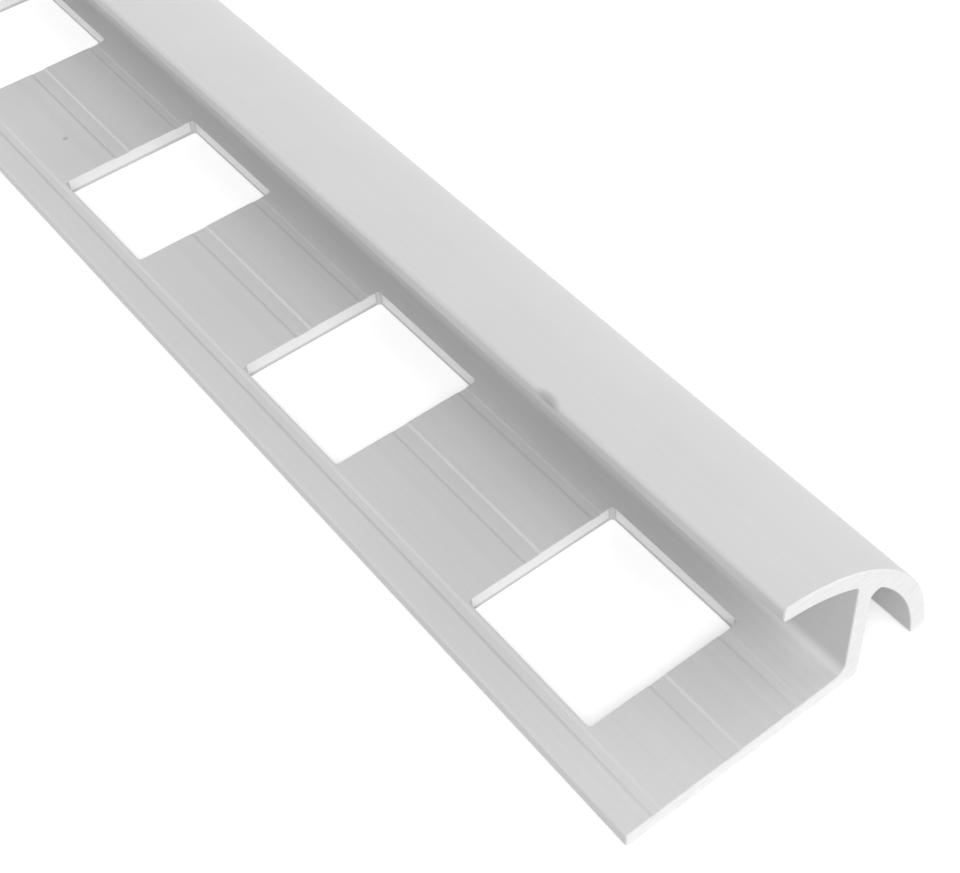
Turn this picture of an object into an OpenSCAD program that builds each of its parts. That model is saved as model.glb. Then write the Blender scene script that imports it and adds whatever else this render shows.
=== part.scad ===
// Quarter-round tile edge trim: one extruded bar with a punched anchoring leg,
// an upright stem that stops the tile, and an arched cap that finishes the edge.

/* [Bar] */
// Length of the bar, saw cut square at both ends
length = 1000; // [250:50:3000]

/* [Section] */
// Wall thickness of the leg, the stem and the cap
wall = 1.2; // [0.8:0.05:1.4]
// Height of the trim, and also the width that the cap covers
trim_h = 12.4; // [11:0.1:16]
// Outer radius of the cap, a little more than the height so that the arch is slightly flat
cap_r = 13.5; // [12:0.1:18]
// Width of the anchoring leg, from its free edge to the face of the stem
leg_w = 16.1; // [16:0.1:30]
// Reach of the cap's lip over the leg, from the face of the stem
lip_reach = 5.7; // [4:0.1:6.5]
// Radius of the inner corner between the leg and the stem
root_r = 0.9; // [0.3:0.1:1.2]
// Radius of the two inner corners between the stem and the cap
neck_r = 0.5; // [0.2:0.1:0.8]
// Radius of the outer corner under the stem
heel_r = 0.6; // [0.2:0.1:0.75]

/* [Punched holes] */
// Side of the square holes
hole_side = 11.2; // [6:0.1:12]
// Strip of leg left between the free edge and the holes
hole_edge = 2.8; // [2:0.05:3]
// Spacing of the holes along the bar
hole_pitch = 25; // [16:0.5:50]
// Distance of the first hole from the cut end
first_hole = 6.35; // [3:0.05:15]
// Least length of leg left between the last hole and the other end
end_land = 3; // [2:0.1:10]

/* [Keying grooves] */
// Depth of the grooves in the top of the leg
groove_depth = 0.15; // [0.1:0.05:0.35]
// Width of the two outer grooves at the surface
groove_w = 0.9; // [0.8:0.05:1.1]
// Width of the middle groove at the surface
groove_mid_w = 1.4; // [1.2:0.05:2.4]
// Middle of the groove beside the free edge
groove_free_x = 2.2; // [1.8:0.05:2.25]
// Middle of the groove that crosses the holes
groove_mid_x = 7.75; // [5:0.05:10]
// Middle of the groove nearest to the stem
groove_stem_x = 12.75; // [11:0.05:14]

/* [Hidden] */
$fn = 96;
inner_r = cap_r - wall;
lip_x = leg_w - lip_reach;
trim_w = lip_x + trim_h;
// The cap's centre lies on the diagonal through the middle of its arch
cap_sink = trim_h / 2 - sqrt((pow(cap_r, 2) - pow(trim_h, 2) / 2) / 2);
cap_x = lip_x + cap_sink;
cap_z = cap_sink;
hole_span = length - first_hole - hole_side - end_land;
hole_n = floor(hole_span / hole_pitch) + 1;
overlap = 0.3 * wall;

module cap_circle(r) {
    translate([cap_x, cap_z]) circle(r = r);
}

// An arch from the lip over the leg down to the floor, cut off upright and level at its tips
module cap_section() {
    difference() {
        intersection() {
            cap_circle(cap_r);
            translate([lip_x, 0]) square(trim_h + wall);
        }
        cap_circle(inner_r);
    }
}

// The stem ends inside the thickness of the cap
module stem_section() {
    intersection() {
        translate([leg_w, 0]) square([wall, trim_h]);
        cap_circle(cap_r - wall / 2);
    }
}

// A cove between one face of the stem and the cap: side is 1 behind the stem and -1 in front
module neck_section(side) {
    face = side > 0 ? leg_w + wall : leg_w;
    cove_dx = face + side * neck_r - cap_x;
    cove_dz = sqrt(pow(inner_r - neck_r, 2) - pow(cove_dx, 2));
    touch_x = cap_x + cove_dx * inner_r / (inner_r - neck_r);
    low_x = min(face - side * overlap, touch_x);
    high_x = max(face - side * overlap, touch_x);
    difference() {
        intersection() {
            translate([low_x, cap_z + cove_dz]) square([high_x - low_x, trim_h]);
            cap_circle(inner_r + overlap);
        }
        translate([cap_x + cove_dx, cap_z + cove_dz]) circle(r = neck_r);
    }
}

// A cove that fills the corner between the leg and the stem
module root_section() {
    difference() {
        translate([leg_w - root_r, wall - overlap])
            square([root_r + overlap, root_r + overlap]);
        translate([leg_w - root_r, wall + root_r]) circle(r = root_r);
    }
}

// What is taken off the sharp corner under the stem
module heel_cut() {
    difference() {
        translate([leg_w + wall - heel_r, -overlap])
            square([heel_r + overlap, heel_r + overlap]);
        translate([leg_w + wall - heel_r, heel_r]) circle(r = heel_r);
    }
}

// A shallow groove with sides at 45 degrees
module groove_section(middle, width) {
    top = width / 2;
    translate([middle, wall])
        polygon([
            [-top - overlap, overlap],
            [-top + groove_depth, -groove_depth],
            [top - groove_depth, -groove_depth],
            [top + overlap, overlap]
        ]);
}

module trim_section() {
    difference() {
        union() {
            square([leg_w + wall, wall]);
            stem_section();
            root_section();
            neck_section(1);
            neck_section(-1);
            cap_section();
        }
        heel_cut();
        groove_section(groove_free_x, groove_w);
        groove_section(groove_mid_x, groove_mid_w);
        groove_section(groove_stem_x, groove_w);
    }
}

// Square holes punched right through the leg, counted from the near end
module hole_row() {
    for (i = [0 : hole_n - 1])
        translate([hole_edge, first_hole + i * hole_pitch, -wall])
            cube([hole_side, hole_side, 3 * wall]);
}

// The bar lies on its leg along Y, centred over the floor
module edge_trim() {
    color([0.78, 0.78, 0.77])
        translate([-trim_w / 2, -length / 2, 0])
            difference() {
                translate([0, length, 0])
                    rotate([90, 0, 0])
                        linear_extrude(height = length) trim_section();
                hole_row();
            }
}

edge_trim();
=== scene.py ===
import math

import bmesh
import bpy
from mathutils import Matrix, Vector


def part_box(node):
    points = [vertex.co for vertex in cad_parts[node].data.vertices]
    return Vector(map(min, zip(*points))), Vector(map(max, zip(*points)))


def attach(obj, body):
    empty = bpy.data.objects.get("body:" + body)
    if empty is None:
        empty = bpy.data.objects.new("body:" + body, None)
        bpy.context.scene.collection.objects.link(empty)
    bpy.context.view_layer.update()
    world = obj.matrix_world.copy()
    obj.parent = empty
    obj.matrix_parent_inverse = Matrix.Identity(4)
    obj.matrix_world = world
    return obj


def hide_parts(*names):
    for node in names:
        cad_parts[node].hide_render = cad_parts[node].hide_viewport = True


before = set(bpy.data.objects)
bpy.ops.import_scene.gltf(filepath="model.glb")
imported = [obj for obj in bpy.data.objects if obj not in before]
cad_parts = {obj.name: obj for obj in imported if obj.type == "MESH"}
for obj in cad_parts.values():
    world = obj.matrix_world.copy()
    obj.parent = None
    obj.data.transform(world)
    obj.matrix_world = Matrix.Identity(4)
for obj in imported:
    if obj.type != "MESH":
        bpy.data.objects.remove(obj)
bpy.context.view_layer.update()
print("frame loaded:", sorted(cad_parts))

mm = 0.001
trimNode = "edge_trim"
boxLow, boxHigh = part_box(trimNode)
barLength = (boxHigh.y - boxLow.y) / mm
trimHeight = (boxHigh.z - boxLow.z) / mm
trimWidth = (boxHigh.x - boxLow.x) / mm

# the bar's section and holes, in mm from the free edge, the near cut end and the floor
trim = {
    "wall": 1.2,
    "stemFace": 16.1,       # face of the stem that stops the tile
    "capR": 13.5,           # outer radius of the arch
    "rootR": 0.9,           # cove between leg and stem
    "heelR": 0.6,           # outer corner under the stem
    "neckR": 0.5,           # coves between stem and cap
    "tipR": 0.3,            # rounding of the cap's two tips
    "arrisR": 0.18,         # rounding of the leg's free edge above
    "underR": 0.35,         # and below
    "holeSide": 11.2,
    "holeEdge": 2.8,
    "holePitch": 25.0,
    "firstHole": 6.35,
    "endLand": 3.0,         # least length of leg after the last hole
    "holeCornerR": 0.28,    # corners left by the punch
    "rimR": 0.1,            # rolled-over rim of the punched holes
    "cutR": 0.06,           # broken edge of the saw cuts
    "grooveDepth": 0.05,    # worn shallow
    "grooveSide": 0.22,     # width of each worn side of a groove
    "grooves": [(2.2, 0.9), (7.75, 1.4), (12.75, 0.9)],     # middle, width
    "capSteps": 56,
    "smallSteps": 10,
    "rimSteps": 2,
    "cutSteps": 1,
    "smoothUpTo": 11,       # degrees between faces that still shade as one
}
skinPart, sawnPart, punchedPart = range(3)      # places of the three finishes on the bar
nearly = 1e-6                                   # mm


def arcPoints(cx, cz, r, start, end, steps):
    # points on an arc, both ends included, angles in degrees
    points = []
    for i in range(steps + 1):
        a = math.radians(start + (end - start) * i / steps)
        points.append((cx + r * math.cos(a), cz + r * math.sin(a)))
    return points


def capCentre():
    # the arch's centre lies on the diagonal through its middle, a little outside the corner it spans
    sink = trimHeight / 2 - math.sqrt((trim["capR"] ** 2 - trimHeight ** 2 / 2) / 2)
    return trimWidth - trimHeight + sink, sink


def neckCove(side):
    # centre of the cove between stem and cap, and the angle at which it meets the cap
    # side is 1 behind the stem and -1 in front of it
    r = trim["neckR"]
    capX, capZ = capCentre()
    face = trim["stemFace"] + (trim["wall"] if side > 0 else 0)
    across = face + side * r - capX
    up = math.sqrt((trim["capR"] - trim["wall"] - r) ** 2 - across ** 2)
    return capX + across, capZ + up, math.degrees(math.atan2(up, across))


def tipTurn(r, inset, level):
    # angle at which a circle of the arch stands inset from the floor, or from the lip's end
    return math.degrees(math.asin((inset - level) / r))


def holeSides():
    return trim["holeEdge"], trim["holeEdge"] + trim["holeSide"]


def legTop():
    # top of the leg from the stem to the free edge, with the grooves and the hole edges
    depth = trim["grooveDepth"]
    side = trim["grooveSide"]
    top = trim["wall"]
    points = [(x, top) for x in holeSides()]
    for middle, width in trim["grooves"]:
        half = width / 2
        points += [(middle + half, top), (middle + half - side, top - depth)]
        points += [(middle - half + side, top - depth), (middle - half, top)]
    return sorted(points, reverse=True)


def trimOutline():
    # the whole section as one loop, from the free edge along the floor and back over the cap
    wall = trim["wall"]
    few = trim["smallSteps"]
    many = trim["capSteps"]
    capX, capZ = capCentre()
    outerR = trim["capR"]
    innerR = outerR - wall
    lipX = trimWidth - trimHeight
    innerReach = math.sqrt(innerR ** 2 - capZ ** 2)
    footX = capX + innerReach       # inner corner of the cap's foot
    lipZ = capZ + innerReach        # lower corner of the lip
    back = trim["stemFace"] + wall
    tip = trim["tipR"]
    arris = trim["arrisR"]
    under = trim["underR"]
    heel = trim["heelR"]
    root = trim["rootR"]
    outerSlip = tipTurn(outerR, tip, capZ)
    innerSlip = tipTurn(innerR, tip, capZ)
    rightX, rightZ, rightTurn = neckCove(1)
    leftX, leftZ, leftTurn = neckCove(-1)

    loop = arcPoints(under, under, under, 180, 270, few)
    loop += [(x, 0) for x in holeSides()]
    loop += arcPoints(back - heel, heel, heel, -90, 0, few)
    loop += arcPoints(rightX, rightZ, trim["neckR"], 180, rightTurn, few)
    loop += arcPoints(capX, capZ, innerR, rightTurn, innerSlip, many // 2)[1:]
    loop += arcPoints(footX + tip, tip, tip, 180, 270, few)[1:]
    loop += arcPoints(trimWidth - tip, tip, tip, 270, 360, few)
    loop += arcPoints(capX, capZ, outerR, outerSlip, 90 - outerSlip, many)[1:]
    loop += arcPoints(lipX + tip, trimHeight - tip, tip, 90, 180, few)[1:]
    loop += arcPoints(lipX + tip, lipZ + tip, tip, 180, 270, few)
    loop += arcPoints(capX, capZ, innerR, 90 - innerSlip, leftTurn, many // 2)[1:]
    loop += arcPoints(leftX, leftZ, trim["neckR"], leftTurn, 0, few)[1:]
    loop += arcPoints(trim["stemFace"] - root, wall + root, root, 0, -90, few)
    loop += legTop()
    loop += arcPoints(arris, wall - arris, arris, 90, 180, few)
    return loop


def holeStations():
    # the places along the bar where the section changes: both cuts and both ends of every hole
    span = barLength - trim["firstHole"] - trim["holeSide"] - trim["endLand"]
    stations = [0.0]
    for i in range(int(span // trim["holePitch"]) + 1):
        start = trim["firstHole"] + i * trim["holePitch"]
        stations += [start, start + trim["holeSide"]]
    return stations + [barLength]


def sharpBar():
    # the bar with sharp edges: the outline at every station, joined up and left open in the holes
    outline = trimOutline()
    stations = holeStations()
    holeLow, holeHigh = holeSides()
    count = len(outline)
    onLeg = [z <= trim["wall"] + nearly and holeLow - nearly <= x <= holeHigh + nearly for x, z in outline]
    bm = bmesh.new()
    rings = []
    for y in stations:
        place = boxLow + Vector((0, y * mm, 0))
        rings.append([bm.verts.new(place + Vector((x * mm, 0, z * mm))) for x, z in outline])

    holeFaces = []
    last = len(stations) - 1
    for k in range(last):
        inHole = k % 2 == 1
        here, there = rings[k], rings[k + 1]
        for i in range(count):
            j = (i + 1) % count
            if inHole and onLeg[i] and onLeg[j]:
                continue
            bm.faces.new((here[i], here[j], there[j], there[i]))
        if inHole:
            for edgeX in (holeLow, holeHigh):
                pair = [i for i in range(count) if onLeg[i] and abs(outline[i][0] - edgeX) < nearly]
                low, high = sorted(pair, key=lambda i: outline[i][1])
                holeFaces.append(bm.faces.new((here[low], here[high], there[high], there[low])))
    wallRing = [i for i in range(count) if onLeg[i]]
    for k in range(1, last):
        holeFaces.append(bm.faces.new([rings[k][i] for i in wallRing]))
    cutFaces = [bm.faces.new(rings[0]), bm.faces.new(rings[last])]
    bmesh.ops.recalc_face_normals(bm, faces=bm.faces)
    for face in bm.faces:
        face.smooth = True
        face.material_index = skinPart
    for face in cutFaces:
        face.material_index = sawnPart
    for face in holeFaces:
        face.material_index = punchedPart
    return bm


def roundMeeting(bm, one, other, width, steps):
    # rounds every edge where these two finishes meet
    edges = [e for e in bm.edges if {f.material_index for f in e.link_faces} == {one, other}]
    bmesh.ops.bevel(bm, geom=edges, offset=width * mm, offset_type="OFFSET", segments=steps,
                    profile=0.5, affect="EDGES", clamp_overlap=True)


def makeTrim(skin, sawn, punched):
    bm = sharpBar()
    # the punch leaves round corners and a rolled rim, the saw a broken edge
    roundMeeting(bm, punchedPart, punchedPart, trim["holeCornerR"], trim["smallSteps"])
    roundMeeting(bm, skinPart, punchedPart, trim["rimR"], trim["rimSteps"])
    roundMeeting(bm, skinPart, sawnPart, trim["cutR"], trim["cutSteps"])

    mesh = bpy.data.meshes.new("edgeTrim")
    bm.to_mesh(mesh)
    bm.free()
    for material in (skin, sawn, punched):
        mesh.materials.append(material)
    mesh.set_sharp_from_angle(angle=math.radians(trim["smoothUpTo"]))
    piece = bpy.data.objects.new("edgeTrim", mesh)
    bpy.context.scene.collection.objects.link(piece)
    return piece


grainHeight = 0.02      # mm from valley to crest of every fine grain


def newMaterial(name):
    material = bpy.data.materials.new(name)
    material.use_nodes = True
    nodes = material.node_tree.nodes
    links = material.node_tree.links
    return material, nodes, links, nodes["Principled BSDF"]


def drawnOut(nodes, links, place, scale):
    # the same place with its own scale each way, so that a grain can run along the bar
    mapping = nodes.new("ShaderNodeMapping")
    mapping.inputs["Scale"].default_value = scale
    links.new(place, mapping.inputs["Vector"])
    return mapping.outputs["Vector"]


def grainAt(nodes, links, place, scale, detail):
    noise = nodes.new("ShaderNodeTexNoise")
    noise.inputs["Scale"].default_value = scale
    noise.inputs["Detail"].default_value = detail
    links.new(place, noise.inputs["Vector"])
    return noise.outputs["Fac"]


def combine(nodes, links, operation, first, second):
    # one step of sums on a socket and another socket or a plain number
    step = nodes.new("ShaderNodeMath")
    step.operation = operation
    links.new(first, step.inputs[0])
    if isinstance(second, float):
        step.inputs[1].default_value = second
    else:
        links.new(second, step.inputs[1])
    return step.outputs["Value"]


def rescale(nodes, links, value, before, after):
    # carries a value over from one range to another
    step = nodes.new("ShaderNodeMapRange")
    for socket, number in zip(("From Min", "From Max", "To Min", "To Max"), before + after):
        step.inputs[socket].default_value = number
    links.new(value, step.inputs["Value"])
    return step.outputs["Result"]


def tintBy(nodes, links, value, ends, low, high):
    # one colour up to the first end, the other from the second end on
    ramp = nodes.new("ShaderNodeValToRGB")
    for element, position, color in zip(ramp.color_ramp.elements, ends, (low, high)):
        element.position = position
        element.color = color
    links.new(value, ramp.inputs["Fac"])
    return ramp.outputs["Color"]


def raiseGrain(nodes, links, shader, grain, strength):
    bump = nodes.new("ShaderNodeBump")
    bump.inputs["Strength"].default_value = strength
    bump.inputs["Distance"].default_value = grainHeight * mm
    links.new(grain, bump.inputs["Height"])
    links.new(bump.outputs["Normal"], shader.inputs["Normal"])


# silver anodised skin: drawn lines along the bar, a faint mottle, a small dark speck and a spot of painted
# shade for a dent in the lip
skinLook = {
    "light": (0.625, 0.625, 0.625, 1),
    "dark": (0.590, 0.590, 0.590, 1),
    "tintEnds": (0.35, 0.65),
    "metallic": 0.2,
    "clearLayer": 1.7,                # refraction of the hard oxide layer
    "roughness": (0.42, 0.55),
    "roughEnds": (0.3, 0.7),
    "lineScale": (2600, 6, 2600),     # fine across the bar, long along it
    "lineDetail": 3,
    "lineDepth": 0.12,
    "mottleScale": 90,
    "mottleDetail": 4,
    # colour of the dark speck on the leg and of the painted shade in the lip's dent
    "speckAndDentShadeColor": (0.30, 0.30, 0.30, 1),
    "markEdge": (0.4, 1.0),           # shares of the reach between which a mark fades out
    "markStrength": (0.6, 0.0),
    "marks": [                        # a dark speck on the leg, and painted shade for a small dent along the lip's lower edge: place and reach in mm
        ((5.36, 72.2, 1.2), (0.28, 0.28, 0.28)),
        ((10.5, 19.0, 12.2), (0.45, 1.15, 0.45)),
    ],
}


def placeStep(nodes, links, operation, place, other=(0, 0, 0)):
    step = nodes.new("ShaderNodeVectorMath")
    step.operation = operation
    step.inputs[1].default_value = other
    links.new(place, step.inputs[0])
    return step.outputs


def darkMark(nodes, links, place, color, spot, reach):
    # a small dark spot with a soft edge on top of the colour so far; it draws the speck and the painted
    # shade of the dent
    away = placeStep(nodes, links, "SUBTRACT", place, boxLow + Vector(spot) * mm)["Vector"]
    inReaches = placeStep(nodes, links, "DIVIDE", away, Vector(reach) * mm)["Vector"]
    distance = placeStep(nodes, links, "LENGTH", inReaches)["Value"]
    fade = rescale(nodes, links, distance, skinLook["markEdge"], skinLook["markStrength"])
    mix = nodes.new("ShaderNodeMix")
    mix.data_type = "RGBA"
    mix.inputs["B"].default_value = skinLook["speckAndDentShadeColor"]
    links.new(fade, mix.inputs["Factor"])
    links.new(color, mix.inputs["A"])
    return mix.outputs["Result"]


def anodisedSkin():
    material, nodes, links, shader = newMaterial("satinAnodised")
    shader.inputs["Metallic"].default_value = skinLook["metallic"]
    shader.inputs["IOR"].default_value = skinLook["clearLayer"]
    place = nodes.new("ShaderNodeTexCoord").outputs["Object"]
    alongBar = drawnOut(nodes, links, place, skinLook["lineScale"])
    lines = grainAt(nodes, links, alongBar, 1, skinLook["lineDetail"])
    mottle = grainAt(nodes, links, place, skinLook["mottleScale"], skinLook["mottleDetail"])
    both = combine(nodes, links, "ADD", lines, mottle)
    mean = combine(nodes, links, "MULTIPLY", both, 0.5)
    color = tintBy(nodes, links, mean, skinLook["tintEnds"], skinLook["dark"], skinLook["light"])
    for spot, reach in skinLook["marks"]:
        color = darkMark(nodes, links, place, color, spot, reach)
    links.new(color, shader.inputs["Base Color"])
    rough = rescale(nodes, links, lines, skinLook["roughEnds"], skinLook["roughness"])
    links.new(rough, shader.inputs["Roughness"])
    raiseGrain(nodes, links, shader, lines, skinLook["lineDepth"])
    return material


# bare metal of the saw cuts
rawLook = {
    "bright": (0.82, 0.82, 0.82, 1),
    "dull": (0.74, 0.74, 0.74, 1),
    "tintEnds": (0.3, 0.7),
    "metallic": 0.25,
    "roughness": 0.5,
    "sawScale": (900, 900, 5200),     # marks run level across the cut
    "sawDetail": 2,
    "sawDepth": 0.2,
}


def rawMetal():
    material, nodes, links, shader = newMaterial("bareCut")
    shader.inputs["Metallic"].default_value = rawLook["metallic"]
    shader.inputs["Roughness"].default_value = rawLook["roughness"]
    place = nodes.new("ShaderNodeTexCoord").outputs["Object"]
    acrossCut = drawnOut(nodes, links, place, rawLook["sawScale"])
    marks = grainAt(nodes, links, acrossCut, 1, rawLook["sawDetail"])
    color = tintBy(nodes, links, marks, rawLook["tintEnds"], rawLook["dull"], rawLook["bright"])
    links.new(color, shader.inputs["Base Color"])
    raiseGrain(nodes, links, shader, marks, rawLook["sawDepth"])
    return material


# walls of the holes: burnished where the punch went in, torn and duller below, with that lower band
# painted darker still as the shade at the wall's foot
punchLook = {
    "burnished": (0.87, 0.87, 0.87, 1),
    "tornWithFootShade": (0.60, 0.60, 0.60, 1),
    "metallic": 0.2,
    "roughness": (0.60, 0.40),        # torn, burnished
    "tornAndShadedShare": 0.22,                # share of the wall above the floor that is torn and painted dark for the shade at its foot
    "tornAndShadedBlend": 0.08,                # mm on each side of that line
    "grainScale": 1800,
    "grainDetail": 3,
    "grainDepth": 0.25,
}


def punchedWallWithFootShade():
    material, nodes, links, shader = newMaterial("punchedWallWithFootShade")
    shader.inputs["Metallic"].default_value = punchLook["metallic"]
    place = nodes.new("ShaderNodeTexCoord").outputs["Object"]
    split = nodes.new("ShaderNodeSeparateXYZ")
    links.new(place, split.inputs["Vector"])
    tornAndShadedTop = punchLook["tornAndShadedShare"] * trim["wall"]
    blend = ((tornAndShadedTop - punchLook["tornAndShadedBlend"]) * mm, (tornAndShadedTop + punchLook["tornAndShadedBlend"]) * mm)
    level = rescale(nodes, links, split.outputs["Z"], blend, (0, 1))
    # the dark band at the foot is the torn zone plus painted shade where the wall meets the floor
    color = tintBy(nodes, links, level, (0, 1), punchLook["tornWithFootShade"], punchLook["burnished"])
    links.new(color, shader.inputs["Base Color"])
    rough = rescale(nodes, links, level, (0, 1), punchLook["roughness"])
    links.new(rough, shader.inputs["Roughness"])
    grain = grainAt(nodes, links, place, punchLook["grainScale"], punchLook["grainDetail"])
    raiseGrain(nodes, links, shader, grain, punchLook["grainDepth"])
    return material


edgeTrim = makeTrim(anodisedSkin(), rawMetal(), punchedWallWithFootShade())
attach(edgeTrim, "root")
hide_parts(trimNode)
print("trim made:", len(edgeTrim.data.polygons), "faces")

# white table and white surroundings, a soft light from the front and a weaker one from the right
studio = {
    "floorSize": 12.0,                      # m
    "floorDrop": 0.02,                      # mm under the bar, so that the two faces don't fight
    "floorColor": (0.62, 0.62, 0.62, 1),
    "floorRoughness": 0.9,
    "floorGlow": 0.48,                      # what the camera and the metal see on top of the lit table
    "ambient": 0.38,                        # light of the surroundings on matt things
    "frontLight": {"from": (-0.29, -0.56, 0.78), "strength": 0.75, "spread": 45},
    "rightLight": {"from": (0.90, -0.35, 0.20), "strength": 0.45, "spread": 40},
}


def seenRays(nodes, links):
    # 1 where the ray comes from the camera, a reflection or clear stuff
    rays = nodes.new("ShaderNodeLightPath").outputs
    seen = combine(nodes, links, "MAXIMUM", rays["Is Camera Ray"], rays["Is Glossy Ray"])
    return combine(nodes, links, "MAXIMUM", seen, rays["Is Transmission Ray"])


def makeFloor():
    half = studio["floorSize"] / 2
    corners = [(-half, -half, 0), (half, -half, 0), (half, half, 0), (-half, half, 0)]
    mesh = bpy.data.meshes.new("floor")
    mesh.from_pydata(corners, [], [(0, 1, 2, 3)])
    floor = bpy.data.objects.new("floor", mesh)
    bpy.context.scene.collection.objects.link(floor)
    material, nodes, links, shader = newMaterial("whiteTable")
    shader.inputs["Base Color"].default_value = studio["floorColor"]
    shader.inputs["Roughness"].default_value = studio["floorRoughness"]
    shader.inputs["Specular IOR Level"].default_value = 0
    shader.inputs["Emission Color"].default_value = (1, 1, 1, 1)
    glow = combine(nodes, links, "MULTIPLY", seenRays(nodes, links), studio["floorGlow"])
    links.new(glow, shader.inputs["Emission Strength"])
    mesh.materials.append(material)
    floor.location.z = -studio["floorDrop"] * mm


def makeSurroundings():
    world = bpy.data.worlds.new("whiteStudio")
    bpy.context.scene.world = world
    world.use_nodes = True
    nodes = world.node_tree.nodes
    links = world.node_tree.links
    background = nodes["Background"]
    background.inputs["Color"].default_value = (1, 1, 1, 1)
    strength = rescale(nodes, links, seenRays(nodes, links), (0, 1), (studio["ambient"], 1))
    links.new(strength, background.inputs["Strength"])


def makeLight(name):
    look = studio[name]
    data = bpy.data.lights.new(name, "SUN")
    data.energy = look["strength"] * math.pi      # 1 here lights a white sheet to white
    data.angle = math.radians(look["spread"])
    light = bpy.data.objects.new(name, data)
    bpy.context.scene.collection.objects.link(light)
    light.location = Vector(look["from"])
    light.rotation_euler = (-Vector(look["from"])).to_track_quat("-Z", "Y").to_euler()


# where the photograph was taken from, found from the holes, the leg's edges, the cut and the cap
photoCamera = {
    "fromFreeEdge": -29.29,     # mm across
    "fromNearCut": -33.47,      # mm along
    "aboveFloor": 84.22,        # mm
    "heading": 33.67,           # degrees from the bar's length towards the cap
    "lookDown": 48.65,
    "roll": -5.0,
    "focalPixels": 1731.7,
    "imageWidth": 960,
    "sensorWidth": 36.0,
    "sees": (0.002, 60),        # m, nearest and furthest
}


def makeCamera():
    data = bpy.data.cameras.new("photoCamera")
    data.sensor_width = photoCamera["sensorWidth"]
    data.lens = photoCamera["focalPixels"] / photoCamera["imageWidth"] * photoCamera["sensorWidth"]
    data.clip_start, data.clip_end = photoCamera["sees"]
    camera = bpy.data.objects.new("photoCamera", data)
    bpy.context.scene.collection.objects.link(camera)
    place = Vector([photoCamera[way] for way in ("fromFreeEdge", "fromNearCut", "aboveFloor")]) * mm
    turn = (Matrix.Rotation(math.radians(-photoCamera["heading"]), 4, "Z")
            @ Matrix.Rotation(math.radians(90 - photoCamera["lookDown"]), 4, "X")
            @ Matrix.Rotation(math.radians(photoCamera["roll"]), 4, "Z"))
    camera.matrix_world = Matrix.Translation(boxLow + place) @ turn
    bpy.context.scene.camera = camera


makeFloor()
makeSurroundings()
makeLight("frontLight")
makeLight("rightLight")
makeCamera()
bpy.context.scene.view_settings.view_transform = "Standard"
print("studio set")
